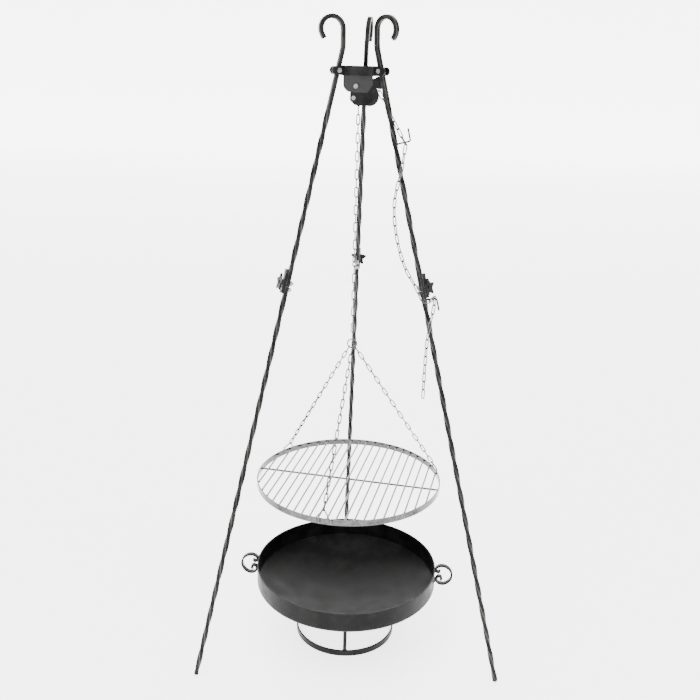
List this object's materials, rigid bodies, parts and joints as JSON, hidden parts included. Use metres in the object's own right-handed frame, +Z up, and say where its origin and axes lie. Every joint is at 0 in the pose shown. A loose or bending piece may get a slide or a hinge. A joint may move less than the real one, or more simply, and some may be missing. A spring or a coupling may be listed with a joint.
{
  "type": "campfire tripod grate",
  "caption": "Campfire tripod of twisted steel legs with a chain hoist, a round hanging grate that raises and lowers, and a loose fire bowl on a ring foot.",
  "frame": {"origin": "on the floor, on the vertical axis of the tripod and of the head ring", "axes": "+Z up; the legs stand at azimuths 90, 210 and 330 degrees, so -Y is the front between two legs"},
  "size_m": [0.8096, 0.7162, 1.6646],
  "materials": {
    "forged_steel": "satin burnished dark forged steel",
    "black_steel": "satin black",
    "bowl_black": "blackened raw steel",
    "star_black": "moulded black",
    "wheel_black": "matt black",
    "grey_plate": "dark grey",
    "zinc": "bright zinc plate",
    "chain_zinc": "bright zinc plate",
    "stainless": "bright stainless"
  },
  "bodies": {
    "head": {"head_ring": "black_steel", "cross_bar": "black_steel", "cheek_plates": "grey_plate", "side_plates": "black_steel", "block_bolt": "zinc", "main_axle": "black_steel", "guide_axle": "black_steel", "guide_roller": "zinc", "wheel_chain": "chain_zinc", "back_ear_plates": "black_steel", "back_pivot_bolt": "zinc", "left_ear_plates": "black_steel", "left_pivot_bolt": "zinc", "right_ear_plates": "black_steel", "right_pivot_bolt": "zinc"},
    "leg_back": {"back_upper_rod": "forged_steel", "back_lower_rod": "forged_steel", "back_splice_bar": "forged_steel", "back_splice_bolt": "zinc", "back_star_nut": "zinc"},
    "leg_left": {"left_upper_rod": "forged_steel", "left_lower_rod": "forged_steel", "left_splice_bar": "forged_steel", "left_splice_bolt": "zinc", "left_star_nut": "zinc"},
    "leg_right": {"right_upper_rod": "forged_steel", "right_lower_rod": "forged_steel", "right_splice_bar": "forged_steel", "right_splice_bolt": "zinc", "right_star_nut": "zinc", "upper_peg": "black_steel", "lower_peg": "black_steel", "slack_chain": "chain_zinc"},
    "star_back": {"back_star_screw": "star_black"},
    "star_left": {"left_star_screw": "star_black"},
    "star_right": {"right_star_screw": "star_black"},
    "main_wheel": {"main_wheel": "wheel_black"},
    "guide_wheel": {"guide_wheel": "wheel_black"},
    "hoist_fall": {"taut_chain": "chain_zinc"},
    "hoist_drop": {"chain_top_link": "chain_zinc", "main_chain": "chain_zinc"},
    "hanger": {"chain_end_link": "chain_zinc"},
    "grate": {"suspension_ring": "chain_zinc", "left_grate_chain": "chain_zinc", "right_grate_chain": "chain_zinc", "front_grate_chain": "chain_zinc", "left_rim_loop": "chain_zinc", "right_rim_loop": "chain_zinc", "front_rim_loop": "chain_zinc", "grate_rim": "stainless", "grate_bars": "stainless", "grate_brace": "stainless"},
    "fire_bowl": {"bowl_shell": "bowl_black", "left_handle": "black_steel", "right_handle": "black_steel", "foot_ring": "black_steel", "bowl_posts": "black_steel"}
  },
  "joints": [
    {"name": "leg_back_fold", "type": "hinge", "parent": "head", "child": "leg_back", "pos_m": [0.01542, 0.05909, 1.54], "axis": [-0.9848, 0.1736, 0], "range_deg": [0, 3.5]},
    {"name": "leg_left_fold", "type": "hinge", "parent": "head", "child": "leg_left", "pos_m": [-0.05138, -0.02052, 1.54], "axis": [0.342, -0.9397, 0], "range_deg": [0, 3.5]},
    {"name": "leg_right_fold", "type": "hinge", "parent": "head", "child": "leg_right", "pos_m": [0.05096, -0.03857, 1.54], "axis": [0.6428, 0.766, 0], "range_deg": [0, 3.5]},
    {"name": "star_back_turn", "type": "hinge", "parent": "leg_back", "child": "star_back", "pos_m": [0.01379, 0.20833, 1.04493], "axis": [0.1683, 0.9544, 0.2467], "continuous": true},
    {"name": "star_left_turn", "type": "hinge", "parent": "leg_left", "child": "star_left", "pos_m": [-0.1811, -0.09446, 1.04495], "axis": [-0.9104, -0.3314, 0.2476], "continuous": true},
    {"name": "star_right_turn", "type": "hinge", "parent": "leg_right", "child": "star_right", "pos_m": [0.17988, -0.11389, 1.04495], "axis": [0.7422, -0.6228, 0.2476], "continuous": true},
    {"name": "grate_swing", "type": "hinge", "parent": "head", "child": "hoist_drop", "pos_m": [0, 0, 1.4384], "axis": [-1, 0, 0], "range_deg": [-1.8, 5]},
    {"name": "grate_height", "type": "slide", "parent": "hoist_drop", "child": "hanger", "axis": [0, 0, -1], "range_m": [-0.18, 0.18], "deforming": ["main_chain"]},
    {"name": "grate_turn", "type": "hinge", "parent": "hanger", "child": "grate", "pos_m": [0, 0, 0.8617], "axis": [0, 0, 1], "range_deg": [-10, 10]},
    {"name": "main_wheel_turn", "type": "hinge", "parent": "head", "child": "main_wheel", "pos_m": [0.0255, 0, 1.482], "axis": [0, -1, 0], "range_deg": [-410, 410]},
    {"name": "guide_wheel_turn", "type": "hinge", "parent": "head", "child": "guide_wheel", "pos_m": [0.0485, 0, 1.5135], "axis": [0, 1, 0], "range_deg": [-900, 900]},
    {"name": "fall_follow", "type": "hinge", "parent": "head", "child": "hoist_fall", "pos_m": [0.04798, 0, 1.49404], "axis": [0.6667, 0.7395, -0.0933], "range_deg": [0, 4.27]},
    {"name": "bowl_pull_out", "type": "slide", "parent": "head", "child": "fire_bowl", "axis": [0, -1, 0], "range_m": [0, 0.8]}
  ],
  "couplings": [
    {"joint": "main_wheel_turn", "follows": "grate_height", "rad_per_m": 39.216},
    {"joint": "guide_wheel_turn", "follows": "grate_height", "rad_per_m": 80},
    {"joint": "fall_follow", "follows": "leg_right_fold", "ratio": 1.1336}
  ]
}
